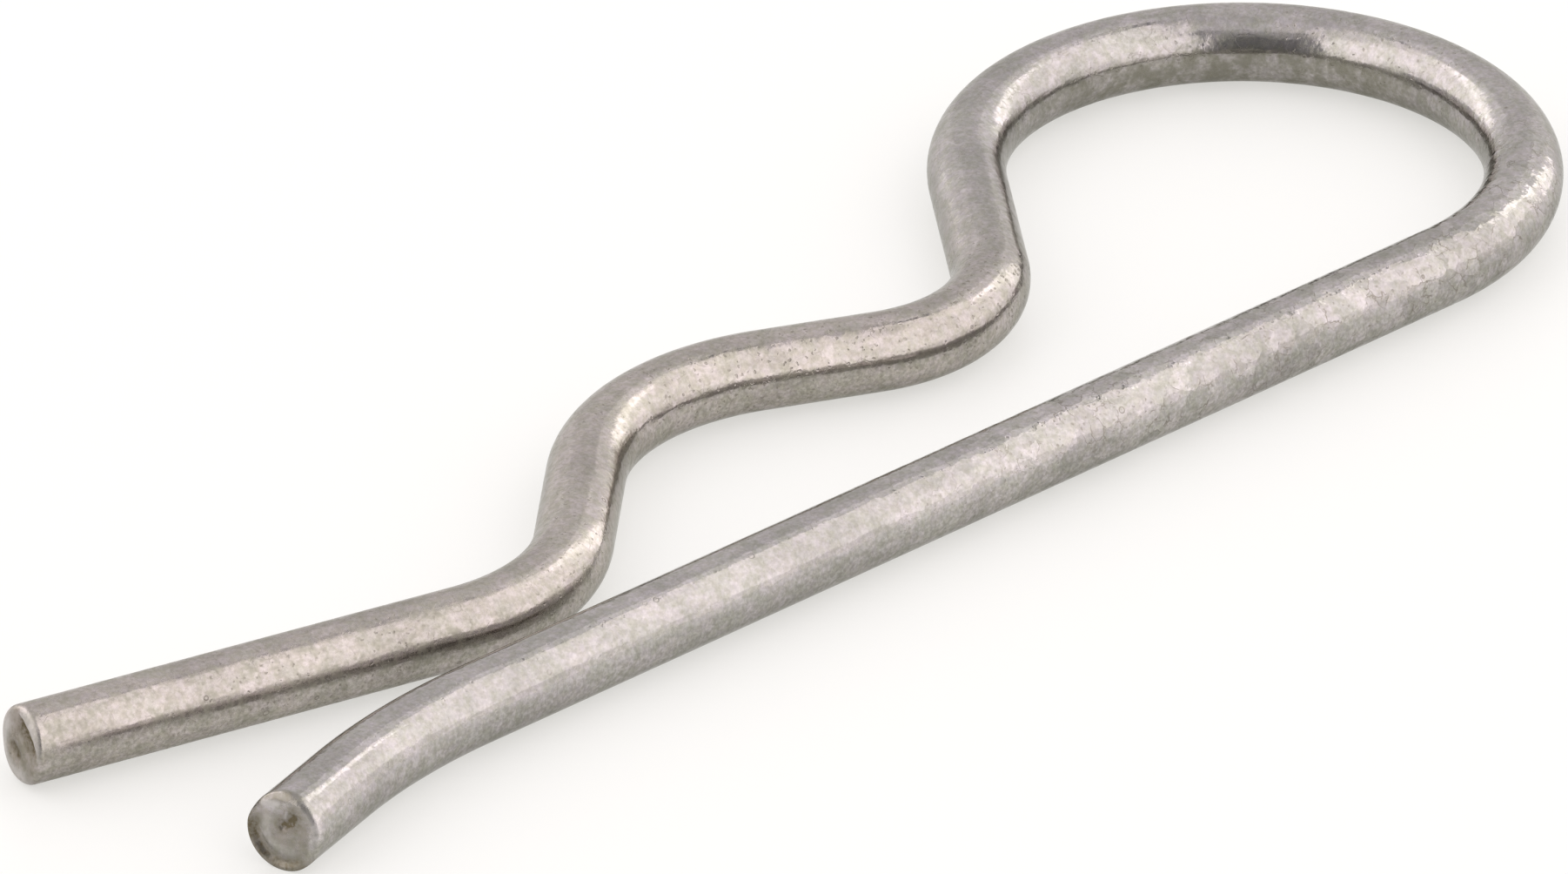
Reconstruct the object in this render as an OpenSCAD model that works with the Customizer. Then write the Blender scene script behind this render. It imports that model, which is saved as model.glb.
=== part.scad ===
// Hitch clip, also called an R clip, bent from one length of round wire.
//
// A straight leg goes through a cross hole in a shaft. A waved leg springs over the
// outside of the shaft and grips it, and a loop joins the two legs.
//
// The shaft's axis is Z and meets the straight leg's axis at the origin. The straight
// leg lies along X, the loop is at its +X end and the waved leg is on its +Y side.
// Every centreline lies in the plane Z = 0, so the clip lies flat.

/* [Wire] */
// Diameter of the round wire
wire = 4; // [3:0.1:5.5]
// Radius that the rim of each cut end is eased to
rim_ease = 0.4; // [0.1:0.05:0.8]
// Angle that the straight leg's cut end leans back at its top
tip_cut_lean = 2; // [0:0.5:12]
// Angle that the waved leg's cut end leans back at its top
tail_cut_lean = 7; // [0:0.5:12]

/* [Straight leg] */
// Straight length from the shaft's axis to the bend near the tip
reach = 29; // [24:0.5:45]
// Inside radius of the bend near the tip
tip_inside_radius = 33; // [15:1:50]
// Angle that the tip is turned away from the waved leg
tip_angle = 16.5; // [8:0.5:24]
// Straight length beyond the bend near the tip
tip_run = 5.5; // [3:0.5:15]

/* [Seat for the shaft] */
// Diameter of the shaft that the clip holds
shaft = 30; // [25:0.5:38]
// How far the shaft springs each flank of the seat outwards
grip = 1.05; // [0:0.05:2]
// Slope of the flank on the loop's side
near_slope = 25; // [20:0.5:30]
// Slope of the flank on the tips' side
far_slope = 42; // [35:0.5:52]
// Inside radius of the crest between the flanks
crest_inside_radius = 10.5; // [7:0.5:13]

/* [Throat between the seat and the loop] */
// How much closer to the straight leg's axis the throat comes than the shaft's surface does
catch = 5; // [4:0.25:7]
// Inside radius of the waved leg's bend at the throat
throat_inside_radius = 6.2; // [4:0.1:8]

/* [Loop] */
// Inside diameter of the loop
loop_inside = 24; // [20:0.5:30]
// Slope of the wire where it comes off the loop towards the throat
loop_slope = 53; // [45:0.5:60]

/* [Mouth and tail] */
// Gap between the straight leg and the waved leg where they come closest
mouth_gap = 1.9; // [0.8:0.1:3]
// Inside radius of the waved leg's bend at the mouth
mouth_inside_radius = 8.8; // [6:0.1:12]
// Slope of the tail, which spreads away from the straight leg
tail_slope = 14; // [8:0.5:20]
// Straight length of the tail
tail_run = 24.5; // [15:0.5:40]

/* [Hidden] */
$fn = 96;

half = wire / 2;

// Lengths worked out from the sizes above are held to a thousandth of a millimetre
function milli(x) = round(x * 1000) / 1000;

// Centreline radii of the bends
tip_r = tip_inside_radius + half;
loop_r = loop_inside / 2 + half;
throat_r = throat_inside_radius + half;
crest_r = crest_inside_radius + half;
mouth_r = mouth_inside_radius + half;

// Both flanks touch one circle round the origin: the shaft's surface, less the grip,
// and half a wire further out for the centreline
seat_r = shaft / 2 - grip + half;
// Directions square to the flanks, pointing away from the shaft
near_out = [sin(near_slope), cos(near_slope)];
far_out = [-sin(far_slope), cos(far_slope)];
// The crest is rounded between the flanks, so its centre is on the line that halves them
crest_turn = near_slope + far_slope;
crest_lean = (near_slope - far_slope) / 2;
crest_centre = (seat_r - crest_r) / cos(crest_turn / 2) * [sin(crest_lean), cos(crest_lean)];

// Centre of a bend that stands outside a flank, touches the flank's line and has the lowest
// point of its centreline at height low. side is 1 towards the loop, -1 towards the tips
function bend_centre(slope, r, low, side) =
    [side * (seat_r + r - (low + r) * cos(slope)) / sin(slope), low + r];
throat_centre = bend_centre(near_slope, throat_r, shaft / 2 - catch + half, 1);
mouth_centre = bend_centre(far_slope, mouth_r, mouth_gap + wire, -1);

// The loop touches the straight leg's line and the line that comes down to the throat
loop_centre = [throat_centre[0] + (loop_r + throat_r + (loop_r - throat_centre[1])
    * cos(loop_slope)) / sin(loop_slope), loop_r];

// Straight lengths between the bends, each measured along its own slope
function along(from, to, heading) = milli((to - from) * [cos(heading), sin(heading)]);
leg_run = milli(reach + loop_centre[0]);
drop_run = along(loop_centre, throat_centre, 180 + loop_slope);
near_run = along(throat_centre, crest_centre, 180 - near_slope);
far_run = along(crest_centre, mouth_centre, 180 + far_slope);

// The wire's course from the tip to the tail. A straight is [length, 0]. A bend is
// [centreline radius, angle], and a positive angle turns to the left
course = [
    [tip_run, 0],
    [tip_r, -tip_angle],
    [leg_run, 0],
    [loop_r, 180 + loop_slope],
    [drop_run, 0],
    [throat_r, -(loop_slope + near_slope)],
    [near_run, 0],
    [crest_r, crest_turn],
    [far_run, 0],
    [mouth_r, -(far_slope + tail_slope)],
    [tail_run, 0]
];
// Where the course starts, so that the straight leg comes out on the X axis
tip_end = [-reach - tip_r * sin(tip_angle) - tip_run * cos(tip_angle),
    -tip_r * (1 - cos(tip_angle)) - tip_run * sin(tip_angle)];

function ahead(heading) = [cos(heading), sin(heading)];
function left(heading) = [-sin(heading), cos(heading)];
// Centre of the bend that starts at a place, and the place and heading after one step
function turn_centre(place, heading, step) =
    place + sign(step[1]) * step[0] * left(heading);
function after(place, heading, step) = step[1] == 0
    ? [place + step[0] * ahead(heading), heading]
    : [turn_centre(place, heading, step)
        - sign(step[1]) * step[0] * left(heading + step[1]), heading + step[1]];

// Neighbouring lengths of wire have to meet at exactly the same round section, so a shift or
// a turn is made in two steps, a coarse one and a fine one that makes up what is missing
module shift(place) {
    coarse = [milli(place[0]), milli(place[1])];
    translate([coarse[0], coarse[1], 0])
        translate([place[0] - coarse[0], place[1] - coarse[1], 0])
            children();
}

// A number held to six figures
function six(x) = abs(x) < 1e-12 ? 0
    : let (k = pow(10, 6 - ceil(log(abs(x)) + 1e-12))) round(x * k) / k;
// How far a heading's sine and cosine, held to six figures, are from unit length
function stretch(heading) = abs(norm([six(cos(heading)), six(sin(heading))]) - 1);
// The heading close by that is stretched least
function best(heading) = let (
        near = [for (k = [-40:40]) heading + k * 1e-4],
        off = [for (a = near) stretch(a)],
        least = min(off)
    ) [for (i = [0:len(near) - 1]) if (off[i] == least) near[i]][0];
module face_along(heading) {
    coarse = heading % 90 == 0 ? heading : best(heading);
    turned = heading % 90 == 0 ? heading : atan2(six(sin(coarse)), six(cos(coarse)));
    rotate([0, 0, coarse]) rotate([0, 0, heading - turned]) rotate([0, 90, 0]) children();
}

// Everything a cut end keeps: two cones, whose slopes touch the eased rim's radius, under a
// flat face that leans back at its top. The face is at height end, and the cones reach below 0
module cut_end(end, lean) {
    deep = end + wire;
    translate([0, 0, end]) rotate([0, -lean, 0]) intersection_for (slope = [30, 60]) {
        top = half - rim_ease + rim_ease * tan(slope / 2);
        translate([0, 0, -deep]) cylinder(h = deep, r1 = top + deep / tan(slope), r2 = top);
    }
}

module straight(step) {
    cylinder(h = step[0], d = wire);
}

module bend(place, heading, step) {
    start = step[1] > 0 ? heading - 90 : heading + 90 + step[1];
    shift(turn_centre(place, heading, step))
        rotate_extrude(angle = abs(step[1]), start = start)
            translate([step[0], 0])
                circle(d = wire);
}

// One step of the course at a time, from a place and a heading
module follow(i, place, heading) {
    step = course[i];
    if (step[1] != 0)
        bend(place, heading, step);
    else if (i == 0)
        shift(after(place, heading, step)[0]) face_along(heading + 180) intersection() {
            straight(step);
            cut_end(step[0], tip_cut_lean);
        }
    else if (i == len(course) - 1)
        shift(place) face_along(heading) intersection() {
            straight(step);
            cut_end(step[0], tail_cut_lean);
        }
    else
        shift(place) face_along(heading) straight(step);
    if (i + 1 < len(course)) {
        next = after(place, heading, step);
        follow(i + 1, next[0], next[1]);
    }
}

module clip() {
    color([0.69, 0.66, 0.63]) follow(0, tip_end, tip_angle);
}

clip();
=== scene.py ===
"""Hitch clip bent from one length of round stainless wire, with its worn satin finish.

The wire is fed and bent step by step, as on a bending bench, from the tip of the straight
leg to the end of the tail. Sizes are in millimetres and angles in degrees until they
reach Blender, which works in metres.
"""
import math

import bmesh
import bpy
import numpy as np
from mathutils import Matrix, Vector, kdtree


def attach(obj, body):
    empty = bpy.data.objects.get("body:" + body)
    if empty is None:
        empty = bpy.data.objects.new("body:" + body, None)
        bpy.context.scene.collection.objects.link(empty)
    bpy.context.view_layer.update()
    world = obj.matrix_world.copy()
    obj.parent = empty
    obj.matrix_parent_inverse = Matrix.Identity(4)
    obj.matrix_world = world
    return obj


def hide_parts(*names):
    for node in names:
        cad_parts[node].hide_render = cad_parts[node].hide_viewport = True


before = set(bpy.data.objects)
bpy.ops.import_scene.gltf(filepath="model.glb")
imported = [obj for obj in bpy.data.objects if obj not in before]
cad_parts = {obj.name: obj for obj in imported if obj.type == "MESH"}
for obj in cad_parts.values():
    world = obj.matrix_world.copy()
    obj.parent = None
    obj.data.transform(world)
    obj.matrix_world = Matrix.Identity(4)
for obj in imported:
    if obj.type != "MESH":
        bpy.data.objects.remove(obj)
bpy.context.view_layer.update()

MM = 0.001

# ---------------------------------------------------------------- sizes
WIRE = 4.0
RIM_EASE = 0.4
TIP_CUT_LEAN = 2.0
TAIL_CUT_LEAN = 7.0
REACH = 29.0
TIP_INSIDE_RADIUS = 33.0
TIP_ANGLE = 16.5
TIP_RUN = 5.5
SHAFT = 30.0
GRIP = 1.05
NEAR_SLOPE = 25.0
FAR_SLOPE = 42.0
CREST_INSIDE_RADIUS = 10.5
CATCH = 5.0
THROAT_INSIDE_RADIUS = 6.2
LOOP_INSIDE = 24.0
LOOP_SLOPE = 53.0
MOUTH_GAP = 1.9
MOUTH_INSIDE_RADIUS = 8.8
TAIL_SLOPE = 14.0
TAIL_RUN = 24.5

HALF = WIRE / 2
SIDES = 72           # facets round the wire
PITCH = 0.25         # distance between its rings
END_LENGTH = 2.0     # the last length at each end, which the cut has marked
END_PITCH = 0.1
FINE_LENGTH = 2.35   # how far from the middle of a cut face its mesh is finer
RIM_STEPS = 9        # rings round the eased rim
SAMPLE_STEP = 0.1    # distance between the places that the straightened coordinates are read at
TOUCHING = 0.005     # ends of two lengths closer than this are one


# ---------------------------------------------------------------- the wire's course
def ahead(heading):
    return np.array([math.cos(math.radians(heading)), math.sin(math.radians(heading))])


def left(heading):
    return ahead(heading + 90)


def plan_course():
    """The steps from tip to tail, each (length, 0) or (radius, turn to the left), and the place
    where they start."""
    tip_r = TIP_INSIDE_RADIUS + HALF
    loop_r = LOOP_INSIDE / 2 + HALF
    throat_r = THROAT_INSIDE_RADIUS + HALF
    crest_r = CREST_INSIDE_RADIUS + HALF
    mouth_r = MOUTH_INSIDE_RADIUS + HALF
    seat_r = SHAFT / 2 - GRIP + HALF
    half_turn = math.radians((NEAR_SLOPE + FAR_SLOPE) / 2)
    lean = math.radians((NEAR_SLOPE - FAR_SLOPE) / 2)
    crest = (seat_r - crest_r) / math.cos(half_turn) * np.array([math.sin(lean), math.cos(lean)])

    def outside_flank(slope, r, low, side):
        a = math.radians(slope)
        return np.array([side * (seat_r + r - (low + r) * math.cos(a)) / math.sin(a), low + r])

    throat = outside_flank(NEAR_SLOPE, throat_r, SHAFT / 2 - CATCH + HALF, 1)
    mouth = outside_flank(FAR_SLOPE, mouth_r, MOUTH_GAP + WIRE, -1)
    a = math.radians(LOOP_SLOPE)
    loop_x = throat[0] + (loop_r + throat_r + (loop_r - throat[1]) * math.cos(a)) / math.sin(a)
    loop = np.array([loop_x, loop_r])

    def along(start, end, heading):
        return float((end - start) @ ahead(heading))

    steps = [
        (TIP_RUN, 0),
        (tip_r, -TIP_ANGLE),
        (REACH + loop_x, 0),
        (loop_r, 180 + LOOP_SLOPE),
        (along(loop, throat, 180 + LOOP_SLOPE), 0),
        (throat_r, -(LOOP_SLOPE + NEAR_SLOPE)),
        (along(throat, crest, 180 - NEAR_SLOPE), 0),
        (crest_r, NEAR_SLOPE + FAR_SLOPE),
        (along(crest, mouth, 180 + FAR_SLOPE), 0),
        (mouth_r, -(FAR_SLOPE + TAIL_SLOPE)),
        (TAIL_RUN, 0),
    ]
    start = np.array([-REACH, 0]) - tip_r * left(0) + tip_r * left(TIP_ANGLE)
    start = start - TIP_RUN * ahead(TIP_ANGLE)
    return steps, start


def centre_of(place, heading, radius, turn):
    return place + math.copysign(radius, turn) * left(heading)


def after(place, heading, step):
    size, turn = step
    if turn == 0:
        return place + size * ahead(heading), heading
    centre = centre_of(place, heading, size, turn)
    return centre - math.copysign(size, turn) * left(heading + turn), heading + turn


# ---------------------------------------------------------------- feeding and bending the wire
def metres(place):
    return Vector((place[0] * MM, place[1] * MM, 0.0))


def open_section(place, heading):
    """The wire's first round section, an open ring square to the heading, in edit mode."""
    bpy.ops.object.select_all(action="DESELECT")
    bpy.ops.mesh.primitive_circle_add(
        vertices=SIDES, radius=HALF * MM, fill_type="NOTHING", location=metres(place),
        rotation=(0, math.pi / 2, math.radians(heading)))
    section = bpy.context.object
    bpy.ops.object.transform_apply(location=True, rotation=True, scale=True)
    bpy.ops.object.mode_set(mode="EDIT")
    bpy.ops.mesh.select_mode(type="EDGE")
    bpy.ops.mesh.select_all(action="SELECT")
    return section


def feed(length, heading):
    """The selected open end goes straight on."""
    steps = max(1, round(length / PITCH))
    bpy.ops.mesh.extrude_repeat(steps=steps, offset=metres(ahead(heading) * length / steps))


def bend(centre, radius, turn):
    """The selected open end turns round a former."""
    steps = max(2, round(radius * math.radians(abs(turn)) / PITCH))
    # the spin operator counts a turn to the right as positive
    bpy.ops.mesh.spin(steps=steps, angle=-math.radians(turn), center=metres(centre), axis=(0, 0, 1))


def bend_wire():
    """Every length and every bend of the course, each started from its own round section."""
    steps, place = plan_course()
    heading, last, parts = TIP_ANGLE, len(steps) - 1, []
    for i, (size, turn) in enumerate(steps):
        goal, new_heading = after(place, heading, (size, turn))
        if turn:
            part = open_section(place, heading)
            bend(centre_of(place, heading, size, turn), size, turn)
        elif i == 0:
            part = open_section(goal, heading)
            feed(size - END_LENGTH, heading + 180)
            close_end(place, -ahead(heading))
            tip_end = (place, -ahead(heading))
        elif i == last:
            part = open_section(place, heading)
            feed(size - END_LENGTH, heading)
            close_end(goal, ahead(heading))
            tail_end = (goal, ahead(heading))
        else:
            part = open_section(place, heading)
            feed(size, heading)
        bpy.ops.object.mode_set(mode="OBJECT")
        parts.append(part)
        place, heading = goal, new_heading
    return parts, tip_end, tail_end


def join_lengths(parts):
    """The lengths meet ring to ring, so merging their doubles leaves one closed skin."""
    bpy.ops.object.select_all(action="DESELECT")
    for part in parts:
        part.select_set(True)
    wire = parts[0]
    bpy.context.view_layer.objects.active = wire
    bpy.ops.object.join()
    wire.name = wire.data.name = "clip_wire"
    bpy.ops.object.mode_set(mode="EDIT")
    bpy.ops.mesh.select_all(action="SELECT")
    bpy.ops.mesh.remove_doubles(threshold=TOUCHING * MM)
    bpy.ops.mesh.normals_make_consistent(inside=False)
    bpy.ops.object.mode_set(mode="OBJECT")
    bpy.ops.object.shade_smooth()
    return wire


# ---------------------------------------------------------------- cut ends
def next_ring(centre, move, scale):
    bpy.ops.mesh.extrude_edges_move(TRANSFORM_OT_translate={"value": move})
    if scale != 1:
        bpy.ops.transform.resize(value=(scale, scale, scale), center_override=centre)


def close_end(place, outward):
    """Runs the selected open end out to its cut face, eases the rim and closes it in rings."""
    out = metres(outward).normalized()
    depths = np.arange(END_LENGTH - END_PITCH, RIM_EASE + END_PITCH / 2, -END_PITCH)
    profile = [(HALF, d) for d in depths]
    profile += [(HALF - RIM_EASE + RIM_EASE * math.cos(a), RIM_EASE - RIM_EASE * math.sin(a))
                for a in np.linspace(0, math.pi / 2, RIM_STEPS)]
    radii = np.arange(HALF - RIM_EASE - END_PITCH, END_PITCH / 2, -END_PITCH)
    profile += [(r, 0.0) for r in radii]
    radius, depth = HALF, END_LENGTH
    for r, d in profile:
        next_ring(metres(place - d * outward), out * (depth - d) * MM, r / radius)
        radius, depth = r, d
    bpy.ops.mesh.merge(type="CENTER")
    split_faces_near(metres(place), FINE_LENGTH * MM)


def split_faces_near(place, reach):
    """Each face there is split in four, so that the marks of the cut can be shaped."""
    bpy.ops.mesh.select_mode(type="FACE")
    mesh = bmesh.from_edit_mesh(bpy.context.object.data)
    for face in mesh.faces:
        face.select_set((face.calc_center_median() - place).length < reach)
    bpy.ops.mesh.subdivide(number_cuts=1)


def flat(place):
    """A place or direction in the plane of the wire, with its height of 0."""
    return np.append(place, 0.0)


def vertex_places(wire):
    co = np.empty(len(wire.data.vertices) * 3)
    wire.data.vertices.foreach_get("co", co)
    return co.reshape(-1, 3)


def put_vertices(wire, co):
    wire.data.vertices.foreach_set("co", co.ravel())
    wire.data.update()


def lean_face(wire, end, lean):
    """The cut leans back at its top. What is behind the face follows less and less."""
    place, outward = end
    co = vertex_places(wire) / MM
    out = flat(outward)
    depth = (flat(place) - co) @ out
    near = np.linalg.norm(co - flat(place), axis=1) < END_LENGTH + HALF
    follow = np.where(near, np.clip(1 - depth / END_LENGTH, 0, 1), 0)
    co -= (follow * math.tan(math.radians(lean)) * co[:, 2])[:, None] * out
    put_vertices(wire, co * MM)


# ---------------------------------------------------------------- marks of the cut
# Right, up and reach are in millimetres from the middle of a cut face, as seen from outside.
# Turn is in degrees, to the left from the right-hand side, and depth is how far behind the
# face a point lies. These depths are where a mark starts to fade and where it has gone.
HOLLOWS_FADE = (0.3, 1.4)
GRIME_AND_SHADE_FADES = (0.25, 0.6)
TEAR_FADES = (0.02, 0.35)

# The corners of the lines that the marks follow, as (right, up).
TAIL_LIP = [(-0.45, 1.68), (0.3, 1.48), (0.93, 1.16), (1.4, 0.82), (1.67, 0.45), (1.88, -0.2)]
TAIL_PIT = [(-0.5, -0.16), (0.1, -0.42)]
TIP_PIT = [(0.5, 0.86), (0.42, 0.6), (0.0, 0.36)]
TIP_SWIRL = [(-0.9, 0.6), (-1.0, 0.2), (-0.95, -0.3), (-0.6, -0.75), (0.0, -1.0), (0.4, -0.95)]
TIP_STREAK = [(0.05, 0.78), (0.14, 1.1)]
TIP_BAR = [(-1.25, 1.28), (-0.45, 1.4)]
LINE_PLACES = 60     # places along such a line that a point's distance is taken from


def ramp(value, start, end):
    """0 up to the start, 1 from the end on, and a smooth change between."""
    share = np.clip((value - start) / (end - start), 0, 1)
    return share * share * (3 - 2 * share)


def bump_between(value, start, full, falling, gone):
    """Rises from start to full, and falls again from falling to gone."""
    return ramp(value, start, full) * (1 - ramp(value, falling, gone))


def from_line(right, up, corners):
    """Each point's distance from a line through the corners, positive on the line's right-hand
    side, and how far along the line it is, 0 to 1."""
    corners = np.array(corners, dtype=float)
    knots = np.linspace(0, 1, len(corners))
    share = np.linspace(0, 1, LINE_PLACES)
    x, z = np.interp(share, knots, corners[:, 0]), np.interp(share, knots, corners[:, 1])
    dx, dz = np.gradient(x), np.gradient(z)
    away = (right[:, None] - x) ** 2 + (up[:, None] - z) ** 2
    nearest = away.argmin(axis=1)
    side = dz[nearest] * (right - x[nearest]) - dx[nearest] * (up - z[nearest])
    return np.sqrt(away.min(axis=1)) * np.where(side < 0, -1, 1), share[nearest]


def tail_cut(right, up, _depth):
    """The tail was sheared from above: a lip at the top right, a torn crease inside it, a small
    pit and a rim worn round below. The crease and the middle of the face get painted shade, and
    the rim below a painted highlight. Gives how far in each point goes, its grime with painted
    shade, and its rubbing with painted highlight."""
    reach, turn = np.hypot(right, up), np.degrees(np.arctan2(up, right)) % 360
    off, along = from_line(right, up, TAIL_LIP)
    held = bump_between(along, 0.0, 0.14, 0.75, 1.0)
    crease = held * bump_between(off, -0.07, 0.1, 0.1, 1.3)
    pit, _ = from_line(right, up, TAIL_PIT)
    pit = 1 - ramp(np.abs(pit), 0.05, 0.55)
    worn = bump_between(turn, 140, 205, 285, 345)
    drop = 0.22 * crease + 0.1 * pit + 0.17 * worn * ramp(reach, 1.0, 2.0)
    paling = 0.4 * ramp(off, 0.3, 0.65) + 0.6 * ramp(off, 0.65, 1.3)
    # Painted shade in the crease inside the lip.
    painted_shade = held * ramp(off, -0.1, 0.04) * (1 - paling)
    lip = held * (1 - ramp(off, -0.1, 0.0))
    # The worn rim below is painted lighter: a painted highlight.
    lit_rim = bump_between(turn, 110, 155, 285, 335) * ramp(reach, 0.75, 1.35)
    # Painted shade on the middle of the face.
    face = 0.3 * (1 - lit_rim) * (1 - ramp(reach, 1.7, 2.0))
    grime_and_shade = np.maximum.reduce([painted_shade, 0.8 * pit, face])
    rubbed_and_lit = np.maximum(lit_rim, 0.6 * lip)
    return drop, grime_and_shade * (1 - lip), rubbed_and_lit


def tip_cut(right, up, depth):
    """The tip was sheared from the top right, which rolled over, and stands sharp at the lower
    left. Its face has a dark ring there, a paler swirl inside it, one brown pit with painted shade
    round it and a short pale bar near the top, and its upper left rim gets painted shade."""
    reach, turn = np.hypot(right, up), np.degrees(np.arctan2(up, right)) % 360
    rolled = bump_between((turn + 90) % 360, 75, 110, 185, 240)
    sharp = bump_between(turn, 140, 175, 295, 345)
    corner = np.where(depth < RIM_EASE, depth, RIM_EASE * (1 - ramp(depth, RIM_EASE, 1.6)))
    burr = 0.15 * ramp(reach, 1.5, 2.0) * (1 - ramp(depth, 0.3, 1.6))
    pit, _ = from_line(right, up, TIP_PIT)
    # Painted shade round the pit.
    round_pit = 0.6 * (1 - ramp(np.abs(pit), 0.3, 1.0))
    pit = 1 - ramp(np.abs(pit), 0.06, 0.46)
    swirl, _ = from_line(right, up, TIP_SWIRL)
    swirl = 1 - ramp(np.abs(swirl), 0.08, 0.4)
    ring = sharp * ramp(reach, 0.95, 1.65)
    streak, _ = from_line(right, up, TIP_STREAK)
    streak = 1 - ramp(np.abs(streak), 0.03, 0.1)
    drop = (0.14 * rolled * ramp(reach, 1.1, 2.0) - sharp * (0.8 * corner + burr) + 0.12 * pit
            + 0.06 * sharp * bump_between(reach, 0.9, 1.5, 1.5, 1.9) - 0.03 * swirl)
    face = 0.4 * (1 - ramp(up, 0.75, 1.2)) * (1 - ramp(right, 1.2, 1.6))
    ring *= 0.76 - 0.1 * ramp(turn, 200, 260)
    bar, _ = from_line(right, up, TIP_BAR)
    bar = 1 - ramp(np.abs(bar), 0.06, 0.24)
    # Painted shade on the upper left rim, over its highlight.
    rim = 0.42 * bump_between(turn, 55, 85, 140, 170) * ramp(reach, 1.35, 1.75)
    edge = 0.35 * bump_between((turn + 90) % 360, 70, 95, 135, 165) * ramp(reach, 1.45, 1.8)
    grime_and_shade = np.maximum.reduce([pit, round_pit, ring, face, rim])
    grime_and_shade *= (1 - 0.5 * swirl) * (1 - 0.7 * streak) * (1 - 0.8 * bar)
    rubbed_and_lit = np.maximum.reduce([0.5 * bar, 0.15 * swirl, edge])
    return drop, grime_and_shade, rubbed_and_lit


def mark_cut(wire, end, cut):
    """Shapes one cut face and stores how torn it is, its grime with painted shade and its
    rubbing with painted highlight, as "cut_end".
    """
    place, outward = end
    out = flat(outward)
    co = vertex_places(wire) / MM
    from_face = co - flat(place)
    depth = -(from_face @ out)
    near = (np.abs(depth) < END_LENGTH) & (np.linalg.norm(from_face, axis=1) < END_LENGTH + HALF)
    right = from_face[near] @ np.array([-outward[1], outward[0], 0.0])
    drop, grime_and_shade, rubbed_and_lit = cut(right, co[near, 2], depth[near])
    fading = 1 - ramp(depth[near], *HOLLOWS_FADE)
    co[near] -= (np.where(drop > 0, drop * fading, drop))[:, None] * out
    put_vertices(wire, co * MM)
    marks = wire.data.attributes.get("cut_end")
    if marks is None:
        marks = wire.data.attributes.new("cut_end", "FLOAT_VECTOR", "POINT")
    values = np.empty(len(co) * 3)
    marks.data.foreach_get("vector", values)
    values = values.reshape(-1, 3)
    torn = 1 - ramp(depth[near], *TEAR_FADES)
    grime_and_shade *= 1 - ramp(depth[near], *GRIME_AND_SHADE_FADES)
    values[near] = np.column_stack([torn, grime_and_shade, rubbed_and_lit * torn])
    marks.data.foreach_set("vector", values.ravel())


# ---------------------------------------------------------------- coordinates that follow the wire
def mark_straightened(wire):
    """Stores where each point would be, in millimetres, if the wire were straightened along X."""
    steps, place = plan_course()
    heading, gone, samples = TIP_ANGLE, 0.0, []
    for size, turn in steps:
        length = size if turn == 0 else size * math.radians(abs(turn))
        for share in np.arange(0, 1, SAMPLE_STEP / length):
            part = (size * share, 0) if turn == 0 else (size, turn * share)
            at, now = after(place, heading, part) if share else (place, heading)
            samples.append((at[0], at[1], now, gone + share * length))
        place, heading = after(place, heading, (size, turn))
        gone += length
    tree = kdtree.KDTree(len(samples))
    for i, (x, y, _, _) in enumerate(samples):
        tree.insert((x, y, 0.0), i)
    tree.balance()
    values = []
    for vertex in wire.data.vertices:
        p = vertex.co / MM
        x, y, now, s = samples[tree.find((p.x, p.y, 0.0))[1]]
        off = np.array([p.x - x, p.y - y])
        values += [s + float(off @ ahead(now)), float(off @ left(now)), p.z]
    stored_places = wire.data.attributes.new("straightened", "FLOAT_VECTOR", "POINT")
    stored_places.data.foreach_set("vector", values)


# ---------------------------------------------------------------- build
parts, tip_end, tail_end = bend_wire()
wire = join_lengths(parts)
mark_straightened(wire)
mark_cut(wire, tip_end, tip_cut)
mark_cut(wire, tail_end, tail_cut)
lean_face(wire, tip_end, TIP_CUT_LEAN)
lean_face(wire, tail_end, TAIL_CUT_LEAN)


# ---------------------------------------------------------------- material
def node(tree, kind, links=(), **values):
    """A shader node with its settings and inputs by name, and links as (input, output to take)."""
    made = tree.nodes.new(kind)
    for name, value in values.items():
        if hasattr(made, name):
            setattr(made, name, value)
        else:
            made.inputs[name.replace("_", " ")].default_value = value
    for name, source in links:
        tree.links.new(source, made.inputs[name])
    return made


def arithmetic(tree, operation, *terms):
    """A Math node. Each term is a number or an output."""
    made = tree.nodes.new("ShaderNodeMath")
    made.operation = operation
    for place, term in zip(made.inputs, terms):
        if isinstance(term, (int, float)):
            place.default_value = term
        else:
            tree.links.new(term, place)
    return made.outputs[0]


def fade(tree, value, start, end, first=0.0, last=1.0):
    """A smooth change from first to last as value goes from start to end."""
    made = node(tree, "ShaderNodeMapRange", [("Value", value)], interpolation_type="SMOOTHSTEP",
                From_Min=start, From_Max=end, To_Min=first, To_Max=last)
    return made.outputs["Result"]


def product(tree, first, *others):
    """The first term times each of the others in turn."""
    for other in others:
        first = arithmetic(tree, "MULTIPLY", first, other)
    return first


def noise(tree, place, scale, detail=2.0, roughness=0.5):
    return node(tree, "ShaderNodeTexNoise", [("Vector", place)], Scale=scale, Detail=detail,
                Roughness=roughness).outputs["Fac"]


def shaken(tree, place, scale, detail, amount):
    """The place, moved about by a noise, so that a pattern made there isn't regular."""
    shake = node(tree, "ShaderNodeTexNoise", [("Vector", place)], Scale=scale, Detail=detail)
    moved = node(tree, "ShaderNodeVectorMath", [(0, shake.outputs["Color"])],
                 operation="MULTIPLY_ADD")
    moved.inputs[1].default_value = (amount,) * 3
    tree.links.new(place, moved.inputs[2])
    return moved.outputs[0]


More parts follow.
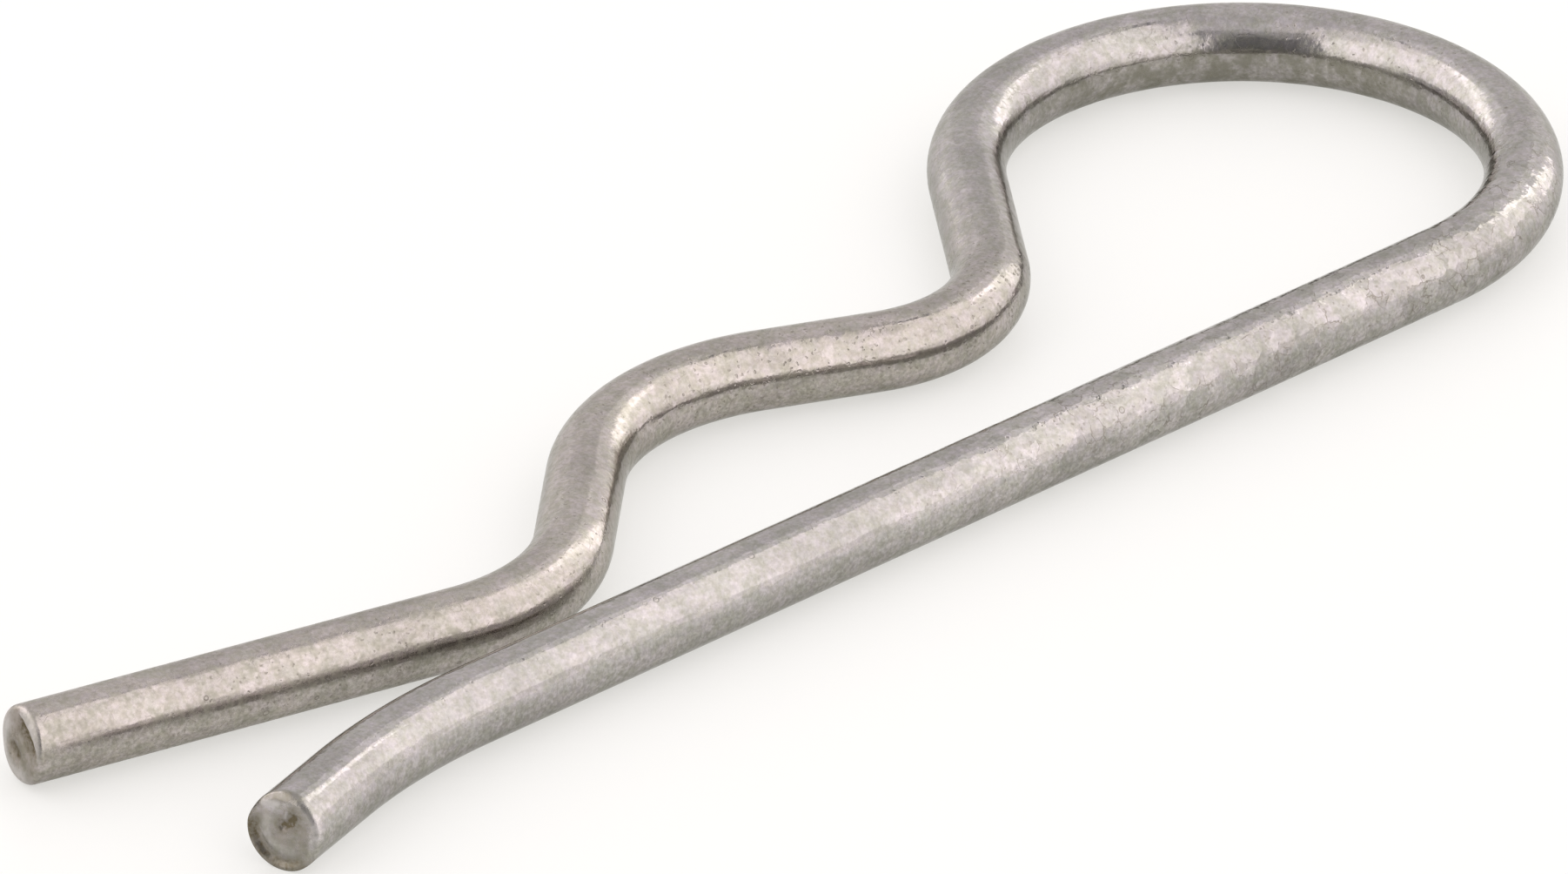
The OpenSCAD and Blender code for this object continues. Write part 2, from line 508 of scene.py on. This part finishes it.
def new_group(name, inputs, outputs):
    """An empty node group with its named inputs and outputs."""
    group = bpy.data.node_groups.new(name, "ShaderNodeTree")
    for socket, kind in inputs:
        group.interface.new_socket(name=socket, in_out="INPUT", socket_type=kind)
    for socket, kind in outputs:
        group.interface.new_socket(name=socket, in_out="OUTPUT", socket_type=kind)
    return group, group.nodes.new("NodeGroupInput"), group.nodes.new("NodeGroupOutput")


VALUE, VECTOR = "NodeSocketFloat", "NodeSocketVector"
STREAK_STRETCH = 10  # how much longer than wide the streaks of the drawing are
PITS_A_MM, DENTS_A_MM, NICKS_A_MM = 3.4, 1.15, 1.25
NICK_RADIUS = 0.2    # of a nick's arc, with the distance between nicks as 1


def tumbled_skin():
    """Node group: the uneven skin left by drawing and tumbling. Height is in millimetres, and
    each noise's scale says about how many of its blotches there are to a millimetre."""
    group, given, result = new_group(
        "tumbled_skin",
        [("Place", VECTOR), ("Along Wire", VECTOR), ("Wave Depth", VALUE), ("Dimple Depth", VALUE),
         ("Grain Depth", VALUE)],
        [("Height", VALUE), ("Patches", VALUE), ("Mottle", VALUE), ("Grain", VALUE),
         ("Shade", VALUE)])
    place = given.outputs["Place"]
    drawn = node(group, "ShaderNodeMapping", [("Vector", given.outputs["Along Wire"])])
    drawn.inputs["Scale"].default_value = (1 / STREAK_STRETCH, 1.0, 1.0)
    streaks = noise(group, drawn.outputs[0], 1.5)
    waves = arithmetic(group, "ADD", noise(group, place, 0.45, 1.0), streaks)
    height = arithmetic(group, "MULTIPLY", waves, given.outputs["Wave Depth"])
    dimples = noise(group, place, 1.7)
    height = arithmetic(group, "MULTIPLY_ADD", dimples, given.outputs["Dimple Depth"], height)
    fine = noise(group, place, 7.0, roughness=0.55)
    height = arithmetic(group, "MULTIPLY_ADD", fine, given.outputs["Grain Depth"], height)
    shade = arithmetic(group, "ADD", noise(group, place, 0.2, 1.0), streaks)
    for name, value in (("Height", height), ("Patches", noise(group, place, 0.9, 3.0, 0.65)),
                        ("Mottle", noise(group, place, 2.6, 2.0, 0.6)),
                        ("Grain", noise(group, place, 4.5, 3.0, 0.7)), ("Shade", shade)):
        group.links.new(value, result.inputs[name])
    return group


def knocks_and_pits():
    """Node group: small round pits, short cracks and curved nicks, each as a mask, the height
    of shallow dents that meet in sharp ridges, and a different value for each dent."""
    group, given, result = new_group(
        "knocks_and_pits", [("Place", VECTOR), ("Pit Share", VALUE), ("Nick Share", VALUE)],
        [("Pits", VALUE), ("Cracks", VALUE), ("Nicks", VALUE), ("Dents", VALUE), ("Flakes", VALUE)])
    place = given.outputs["Place"]

    ragged = shaken(group, place, 6.0, 1.0, 0.25)
    pit = node(group, "ShaderNodeTexVoronoi", [("Vector", ragged)], Scale=PITS_A_MM)
    lot = node(group, "ShaderNodeSeparateColor", [("Color", pit.outputs["Color"])])
    chosen = arithmetic(group, "LESS_THAN", lot.outputs["Red"], given.outputs["Pit Share"])
    hollow = fade(group, pit.outputs["Distance"], 0.1, 0.36, 1.0, 0.0)
    gathered = fade(group, noise(group, place, 0.12, 1.0), 0.4, 0.56, 0.25, 1.0)
    group.links.new(product(group, hollow, gathered, chosen), result.inputs["Pits"])

    bent = shaken(group, place, 2.2, 2.0, 0.5)
    dent = node(group, "ShaderNodeTexVoronoi", [("Vector", bent)], Scale=DENTS_A_MM)
    bowl = product(group, dent.outputs["Distance"], dent.outputs["Distance"])
    group.links.new(bowl, result.inputs["Dents"])
    flake = node(group, "ShaderNodeSeparateColor", [("Color", dent.outputs["Color"])])
    group.links.new(flake.outputs["Blue"], result.inputs["Flakes"])
    crack = node(group, "ShaderNodeTexVoronoi", [("Vector", bent)], feature="DISTANCE_TO_EDGE",
                 Scale=DENTS_A_MM)
    line = fade(group, crack.outputs["Distance"], 0.0, 0.05, 1.0, 0.0)
    here = fade(group, noise(group, place, 0.8, 3.0, 0.6), 0.48, 0.61)
    group.links.new(arithmetic(group, "MULTIPLY", line, here), result.inputs["Cracks"])

    nick = node(group, "ShaderNodeTexVoronoi", [("Vector", place)], Scale=NICKS_A_MM)
    lot = node(group, "ShaderNodeSeparateColor", [("Color", nick.outputs["Color"])])
    chosen = arithmetic(group, "LESS_THAN", lot.outputs["Green"], given.outputs["Nick Share"])
    off = arithmetic(group, "SUBTRACT", nick.outputs["Distance"], NICK_RADIUS)
    ring = fade(group, arithmetic(group, "ABSOLUTE", off), 0.0, 0.06, 1.0, 0.0)
    scaled = node(group, "ShaderNodeVectorMath", [(0, place)], operation="SCALE", Scale=NICKS_A_MM)
    from_middle = node(group, "ShaderNodeVectorMath",
                       [(0, scaled.outputs[0]), (1, nick.outputs["Position"])],
                       operation="SUBTRACT")
    way = node(group, "ShaderNodeVectorMath", [(0, nick.outputs["Color"])], operation="SUBTRACT")
    way.inputs[1].default_value = (0.5, 0.5, 0.5)
    facing = node(group, "ShaderNodeVectorMath", [(0, from_middle.outputs[0]), (1, way.outputs[0])],
                  operation="DOT_PRODUCT")
    open_side = fade(group, facing.outputs["Value"], -0.03, 0.03)
    group.links.new(product(group, ring, open_side, chosen), result.inputs["Nicks"])
    return group


def blend_colours(tree, share, first, second, kind="MIX"):
    """A Mix node. Each term is a number, a colour or an output."""
    made = node(tree, "ShaderNodeMix", data_type="RGBA", blend_type=kind)
    for place, value in ((0, share), (6, first), (7, second)):
        if isinstance(value, (int, float)):
            made.inputs[place].default_value = value
        elif isinstance(value, tuple):
            made.inputs[place].default_value = (*value, 1.0)
        else:
            tree.links.new(value, made.inputs[place])
    return made.outputs[2]


def tinted(tree, colour, tint):
    """The colour times a tint or a shade of grey."""
    return blend_colours(tree, 1.0, colour, tint, "MULTIPLY")


def stored(tree, name):
    """One of the wire's own attributes, whole and as its three values."""
    attribute = node(tree, "ShaderNodeAttribute", attribute_name=name)
    split = node(tree, "ShaderNodeSeparateXYZ", [("Vector", attribute.outputs["Vector"])])
    return attribute.outputs["Vector"], [split.outputs[axis] for axis in "XYZ"]


# Where the finish starts and stops changing, in millimetres along the wire from the tip. A
# pair that counts down fades its mark out.
LEG_DENTS_START, LEG_DENTS_FLATTEN = (28.0, 60.0), (85.0, 98.0)
LEG_WEAR_STARTS = (30.0, 60.0)
LEG_FLAKES_START, LEG_FLAKES_THIN_OUT = (34.0, 60.0), (86.0, 100.0)
LEG_SHINE_ENDS, SHINE_RETURNS = (80.0, 105.0), (128.0, 150.0)
# The loop's painted shade, on its inner lower side, starts and ends here.
LOOP_SHADE_STARTS, LOOP_SHADE_ENDS = (98.0, 108.0), (134.0, 124.0)
STEEL_GETS_WARMER = (138.0, 158.0)
CREST_PITS_START, CREST_PITS_THIN_OUT = (142.0, 152.0), (171.0, 182.0)
TAIL_GETS_DULLER = (184.0, 202.0)

# The same, in millimetres above the middle of the wire or towards the inside of the loop.
# These place the painted shade on the underside and on the inner lower side of the loop.
UNDERSIDE_SHADE_BELOW, LOOP_SHADE_BELOW, LOOP_SHADE_INSIDE = (0.9, 0.0), (0.9, 0.3), (0.0, 0.8)

# How deep each mark goes, in millimetres.
WAVE_DEPTH, DIMPLE_DEPTH, GRAIN_DEPTH = 0.03, 0.014, 0.0014
PIT_DEPTH, CRACK_DEPTH, NICK_DEPTH = 0.008, 0.006, 0.007
LEAST_DENT, DEEPEST_DENT = 0.006, 0.044
TORN_DEPTH = 0.02

# How many of the places where a pit or a nick could be have one.
PIT_SHARE, NICK_SHARE = 0.4, 0.1

OLIVE_STEEL, PINK_STEEL = (0.37, 0.359, 0.336), (0.425, 0.397, 0.396)
OLIVE_MOTTLE, PALE_MOTTLE = (0.94, 0.935, 0.89), (1.065, 1.05, 1.07)
# Painted shade on the underside: darker and greener grains, and none higher up.
DARK_UNDERSIDE_SHADE, PALE_UNDERSIDE_SHADE, NO_UNDERSIDE_SHADE = (0.85, 0.858, 0.82), (1.0, 1.012, 0.985), (1.0, 1.0, 1.0)
COOLER, WARMER = (0.993, 0.998, 1.016), (1.012, 0.99, 0.968)
DARK_FLAKE, PALE_FLAKE = (0.87, 0.875, 0.86), (1.11, 1.105, 1.11)
WORN_BROWN = (0.2, 0.178, 0.155)
# Rubbed steel, and a painted highlight on the tail's rim below.
RUBBED_AND_LIT_STEEL = (0.6, 0.58, 0.565)
# Grime, and painted shade on the cut faces.
GRIME_AND_SHADE_BROWN = (0.13, 0.108, 0.07)
# Painted shade on the inner lower side of the loop.
LOOP_SHADE_OLIVE = (0.19, 0.18, 0.145)


def worn_places(tree, marks, along):
    """How flaky each place is, the cracks, the pits, which gather on the crest, and how dark
    all of them together have worn."""
    flaky = product(tree, fade(tree, along, *LEG_FLAKES_START, 0.3, 1.0),
                    fade(tree, along, *LEG_FLAKES_THIN_OUT, 1.0, 0.4))
    cracks = product(tree, marks.outputs["Cracks"], flaky)
    pitted = product(tree, fade(tree, along, *CREST_PITS_START, 1.0, 3.2),
                     fade(tree, along, *CREST_PITS_THIN_OUT, 1.0, 0.35))
    pits = arithmetic(tree, "MINIMUM", product(tree, marks.outputs["Pits"], pitted), 1.0)
    worn = arithmetic(tree, "MAXIMUM", cracks, marks.outputs["Nicks"])
    worn = arithmetic(tree, "MAXIMUM", worn, product(tree, pits, 0.75))
    worn = product(tree, worn, fade(tree, along, *LEG_WEAR_STARTS, 0.35, 0.8))
    return flaky, cracks, pits, worn


def skin_height(tree, skin, marks, cracks, pits, along, torn):
    """The uneven skin in millimetres, with the marks cut in, the leg's dents and the torn ends."""
    cut_in = product(tree, pits, PIT_DEPTH)
    cut_in = arithmetic(tree, "MULTIPLY_ADD", cracks, CRACK_DEPTH, cut_in)
    cut_in = arithmetic(tree, "MULTIPLY_ADD", marks.outputs["Nicks"], NICK_DEPTH, cut_in)
    height = arithmetic(tree, "SUBTRACT", skin.outputs["Height"], cut_in)
    dent_depth = product(tree, fade(tree, along, *LEG_DENTS_START, LEAST_DENT, DEEPEST_DENT),
                         fade(tree, along, *LEG_DENTS_FLATTEN, 1.0, 0.3))
    height = arithmetic(tree, "ADD", height, product(tree, marks.outputs["Dents"], dent_depth))
    torn_skin = product(tree, torn, skin.outputs["Grain"], TORN_DEPTH)
    return arithmetic(tree, "ADD", height, torn_skin)


def steel_colour(tree, skin, marks, flaky, along, up):
    """Olive to pink patches, mottled and grained, with grainy painted shade that makes the
    underside darker and greener, warmer towards the tail, with darker and paler flakes on the leg."""
    patch = fade(tree, skin.outputs["Patches"], 0.36, 0.64)
    colour = blend_colours(tree, patch, OLIVE_STEEL, PINK_STEEL)
    mottle = fade(tree, skin.outputs["Mottle"], 0.36, 0.64)
    colour = tinted(tree, colour, blend_colours(tree, mottle, OLIVE_MOTTLE, PALE_MOTTLE))
    colour = tinted(tree, colour, fade(tree, skin.outputs["Grain"], 0.3, 0.7, 0.88, 1.09))
    # Painted shade on the underside, darker and greener in grains.
    underside_shade = fade(tree, skin.outputs["Grain"], 0.35, 0.65)
    underside_shade = blend_colours(tree, underside_shade, DARK_UNDERSIDE_SHADE, PALE_UNDERSIDE_SHADE)
    underside_shade = blend_colours(tree, fade(tree, up, *UNDERSIDE_SHADE_BELOW), NO_UNDERSIDE_SHADE, underside_shade)
    colour = tinted(tree, colour, underside_shade)
    colour = tinted(tree, colour, fade(tree, skin.outputs["Shade"], 0.75, 1.25, 0.92, 1.08))
    warmth = fade(tree, along, *STEEL_GETS_WARMER)
    colour = tinted(tree, colour, blend_colours(tree, warmth, COOLER, WARMER))
    flakes = blend_colours(tree, marks.outputs["Flakes"], DARK_FLAKE, PALE_FLAKE)
    return blend_colours(tree, flaky, colour, tinted(tree, colour, flakes))


def soiled_and_shaded(tree, colour, skin, worn, rubbed_and_lit, grime_and_shade, straightened):
    """The colour with its worn places, the rubbed and grimy cut ends with their painted highlight
    and painted shade, and painted shade on the inner lower side of the loop.
    """
    along, inward, up = straightened
    colour = blend_colours(tree, worn, colour, WORN_BROWN)
    # Rubbing with a painted highlight, then grime with painted shade, on the cut ends.
    colour = blend_colours(tree, product(tree, rubbed_and_lit, 0.8), colour, RUBBED_AND_LIT_STEEL)
    colour = blend_colours(tree, grime_and_shade, colour, GRIME_AND_SHADE_BROWN)
    # Painted shade on the inner lower side of the loop, in patches.
    painted_shade = product(tree, fade(tree, along, *LOOP_SHADE_STARTS),
                    fade(tree, along, *LOOP_SHADE_ENDS), fade(tree, inward, *LOOP_SHADE_INSIDE),
                    fade(tree, up, *LOOP_SHADE_BELOW),
                    fade(tree, skin.outputs["Patches"], 0.64, 0.36, 0.25, 0.8))
    return blend_colours(tree, painted_shade, colour, LOOP_SHADE_OLIVE)


def skin_roughness(tree, skin, along, worn, torn, grime_and_shade, rubbed_and_lit):
    """Shinier on the patches and along the leg, duller on the loop and tail and on every mark."""
    rough = product(tree, fade(tree, skin.outputs["Patches"], 0.3, 0.7, 0.2, 0.13),
                    fade(tree, skin.outputs["Mottle"], 0.35, 0.65, 1.25, 0.8),
                    fade(tree, along, *LEG_SHINE_ENDS, 0.55, 1.15),
                    fade(tree, along, *SHINE_RETURNS, 1.0, 0.85),
                    fade(tree, along, *TAIL_GETS_DULLER, 1.0, 1.6))
    for mark, extra in ((worn, 0.25), (torn, 0.12), (grime_and_shade, 0.2), (rubbed_and_lit, 0.4)):
        rough = arithmetic(tree, "MULTIPLY_ADD", mark, extra, rough)
    return rough


def satin_stainless():
    """Drawn stainless wire, tumbled to an uneven satin: olive to pink patches with pits and
    nicks, flakes and short cracks on the leg, painted shade on the underside and inside the loop,
    and grime with painted shade and painted highlight on the cut ends."""
    material = bpy.data.materials.new("satin_stainless")
    material.use_nodes = True
    tree = material.node_tree
    tree.nodes.clear()
    out = tree.nodes.new("ShaderNodeOutputMaterial")
    steel = node(tree, "ShaderNodeBsdfPrincipled", Metallic=1.0)
    steel.inputs["Specular Tint"].default_value = (0.72, 0.72, 0.7, 1)
    tree.links.new(steel.outputs[0], out.inputs["Surface"])
    coordinates = tree.nodes.new("ShaderNodeTexCoord")
    place = node(tree, "ShaderNodeMapping", [("Vector", coordinates.outputs["Object"])])
    place.inputs["Scale"].default_value = (1 / MM,) * 3

    along_wire, straightened = stored(tree, "straightened")
    along, _, up = straightened
    _, (torn, grime_and_shade, rubbed_and_lit) = stored(tree, "cut_end")
    skin = node(tree, "ShaderNodeGroup", node_tree=tumbled_skin())
    skin.inputs["Wave Depth"].default_value = WAVE_DEPTH
    skin.inputs["Dimple Depth"].default_value = DIMPLE_DEPTH
    skin.inputs["Grain Depth"].default_value = GRAIN_DEPTH
    tree.links.new(along_wire, skin.inputs["Along Wire"])
    marks = node(tree, "ShaderNodeGroup", node_tree=knocks_and_pits())
    marks.inputs["Pit Share"].default_value = PIT_SHARE
    marks.inputs["Nick Share"].default_value = NICK_SHARE
    for part in (skin, marks):
        tree.links.new(place.outputs[0], part.inputs["Place"])

    flaky, cracks, pits, worn = worn_places(tree, marks, along)
    uneven = fade(tree, skin.outputs["Grain"], 0.3, 0.7, 0.6, 1.4)
    grime_and_shade = arithmetic(tree, "MINIMUM", product(tree, grime_and_shade, uneven), 1.0)

    height = skin_height(tree, skin, marks, cracks, pits, along, torn)
    bump = node(tree, "ShaderNodeBump", [("Height", height)], Strength=1.0, Distance=MM)
    tree.links.new(bump.outputs["Normal"], steel.inputs["Normal"])
    colour = steel_colour(tree, skin, marks, flaky, along, up)
    colour = soiled_and_shaded(tree, colour, skin, worn, rubbed_and_lit, grime_and_shade, straightened)
    tree.links.new(colour, steel.inputs["Base Color"])
    rough = skin_roughness(tree, skin, along, worn, torn, grime_and_shade, rubbed_and_lit)
    tree.links.new(rough, steel.inputs["Roughness"])
    return material


wire.data.materials.clear()
wire.data.materials.append(satin_stainless())
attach(wire, "root")
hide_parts("clip")

# ---------------------------------------------------------------- floor, lights and camera
# From here on, lengths are in metres.
FLOOR_LEVEL, FLOOR_SIZE = -HALF * MM, 8
CAMERA_AZIMUTH, CAMERA_ELEVATION = -43.408, 28.406
CAMERA_DISTANCE, CAMERA_LENS = 1.4221, 660.88
LOOK_AT = Vector((0.00081, 0.00952, 0.0))


def back_direction(azimuth, elevation):
    """From the clip towards someone who looks at it from that side and height."""
    a, e = math.radians(azimuth), math.radians(elevation)
    return Vector((math.sin(a) * math.cos(e), -math.cos(a) * math.cos(e), math.sin(e)))


def lay_floor():
    """A sheet of pale paper that glows, as on a light table, so that shadows stay faint."""
    bpy.ops.object.select_all(action="DESELECT")
    bpy.ops.mesh.primitive_plane_add(size=FLOOR_SIZE, location=(0, 0, FLOOR_LEVEL))
    floor = bpy.context.object
    floor.name = "floor"
    paper = bpy.data.materials.new("pale_paper")
    paper.use_nodes = True
    shader = paper.node_tree.nodes["Principled BSDF"]
    shader.inputs["Base Color"].default_value = (0.3, 0.303, 0.311, 1)
    shader.inputs["Roughness"].default_value = 0.45
    shader.inputs["Emission Color"].default_value = (1.0, 0.987, 0.95, 1)
    shader.inputs["Emission Strength"].default_value = 0.575
    floor.data.materials.append(paper)


def softbox(name, corner, along, up, radiance, colour):
    """A flat even light from one corner, with two edges. It shines towards the object."""
    along, up = Vector(along), Vector(up)
    lamp = bpy.data.lights.new(name, "AREA")
    lamp.shape = "RECTANGLE"
    lamp.size, lamp.size_y = along.length, up.length
    lamp.energy = radiance * math.pi * along.length * up.length
    lamp.color = colour
    box = bpy.data.objects.new(name, lamp)
    bpy.context.scene.collection.objects.link(box)
    x, y = along.normalized(), up.normalized()
    z = x.cross(y)
    middle = Vector(corner) + along / 2 + up / 2
    if z.dot(middle) < 0:
        x, z = -x, -z
    box.matrix_world = Matrix.Translation(middle) @ Matrix((x, y, z)).transposed().to_4x4()


def light_tent():
    """A dim room round the clip. On each side of the camera stands a long soft wall, with a foot
    along the floor, another length above it and a lamp behind its far end. The roof and the
    backdrop are dimmer, and the slot where the camera looks in is darker still."""
    near = back_direction(CAMERA_AZIMUTH, 0)
    right = Vector((-near.y, near.x, 0))
    tall = Vector((0, 0, 1))
    side, top, back = 0.6, 1.5, 0.86
    left_start, left_foot, right_start, right_foot = 0.78, 0.12, 1.65, 0.15
    warm, neutral = (1.0, 0.953, 0.925), (1.0, 0.97, 0.965)

    at = right * side + near * right_start
    softbox("right_wall", at + tall * right_foot, near * -2.5, tall * 1.35, 1.64, warm)
    softbox("right_foot", at, near * -2.5, tall * right_foot, 1.25, warm)
    at = right * side + near * 0.8
    softbox("right_upper", at + tall * top, near * -1.6, tall * 1.06, 1.4, warm)
    softbox("right_lamp", right * 0.56 - near * 0.5, near * -0.32, tall * 0.8, 0.85, neutral)
    at = right * -side + near * left_start
    softbox("left_wall", at + tall * left_foot, near * -1.6, tall * 0.9, 1.66, warm)
    softbox("left_foot", at, near * -1.6, tall * left_foot, 0.4, warm)
    at = right * -side + near * 0.7
    softbox("left_upper", at + tall * 1.02, near * -1.5, tall * 0.98, 1.15, warm)
    softbox("left_lamp", right * -0.56 - near * 0.46, near * -0.34, tall * 0.8, 0.68, neutral)
    at = right * -0.45 - near * back
    softbox("roof", at + tall * top, right * 0.8, near * 1.74, 0.72, neutral)
    at = right * 0.42 + near * 0.88
    softbox("slot_top", at + tall * 0.92, right * -0.9, tall * 0.58, 0.38, neutral)
    at = right * 0.1 - near * 0.8
    softbox("roof_right", at + tall * top, right * 0.25, near * 1.05, 0.35, warm)
    at = right * side + near * 1.7
    softbox("slot_right", at, right * -0.28, tall * 1.6, 0.15, neutral)
    at = right * -0.42 + near * 0.9
    softbox("slot_left", at, right * -0.2, tall * 0.9, 0.15, neutral)
    at = right * -0.28 - near * back
    softbox("backdrop", at, right * 0.56, tall * top, 0.75, neutral)
    at = right * 0.28 - near * back
    softbox("backdrop_right", at, right * 0.32, tall * top, 1.06, neutral)
    at = right * -0.62 - near * back
    softbox("backdrop_left", at, right * 0.34, tall * top, 1.0, neutral)

    world = bpy.data.worlds.new("room")
    world.use_nodes = True
    world.node_tree.nodes["Background"].inputs["Color"].default_value = (0.215, 0.213, 0.211, 1)
    bpy.context.scene.world = world


def set_camera():
    data = bpy.data.cameras.new("camera")
    data.sensor_width = 36
    data.lens = CAMERA_LENS
    data.clip_end = 100
    camera = bpy.data.objects.new("camera", data)
    bpy.context.scene.collection.objects.link(camera)
    back = back_direction(CAMERA_AZIMUTH, CAMERA_ELEVATION)
    camera.location = LOOK_AT + back * CAMERA_DISTANCE
    camera.rotation_euler = back.to_track_quat("Z", "Y").to_euler()
    bpy.context.scene.camera = camera


lay_floor()
light_tent()
set_camera()
bpy.context.scene.view_settings.view_transform = "Standard"
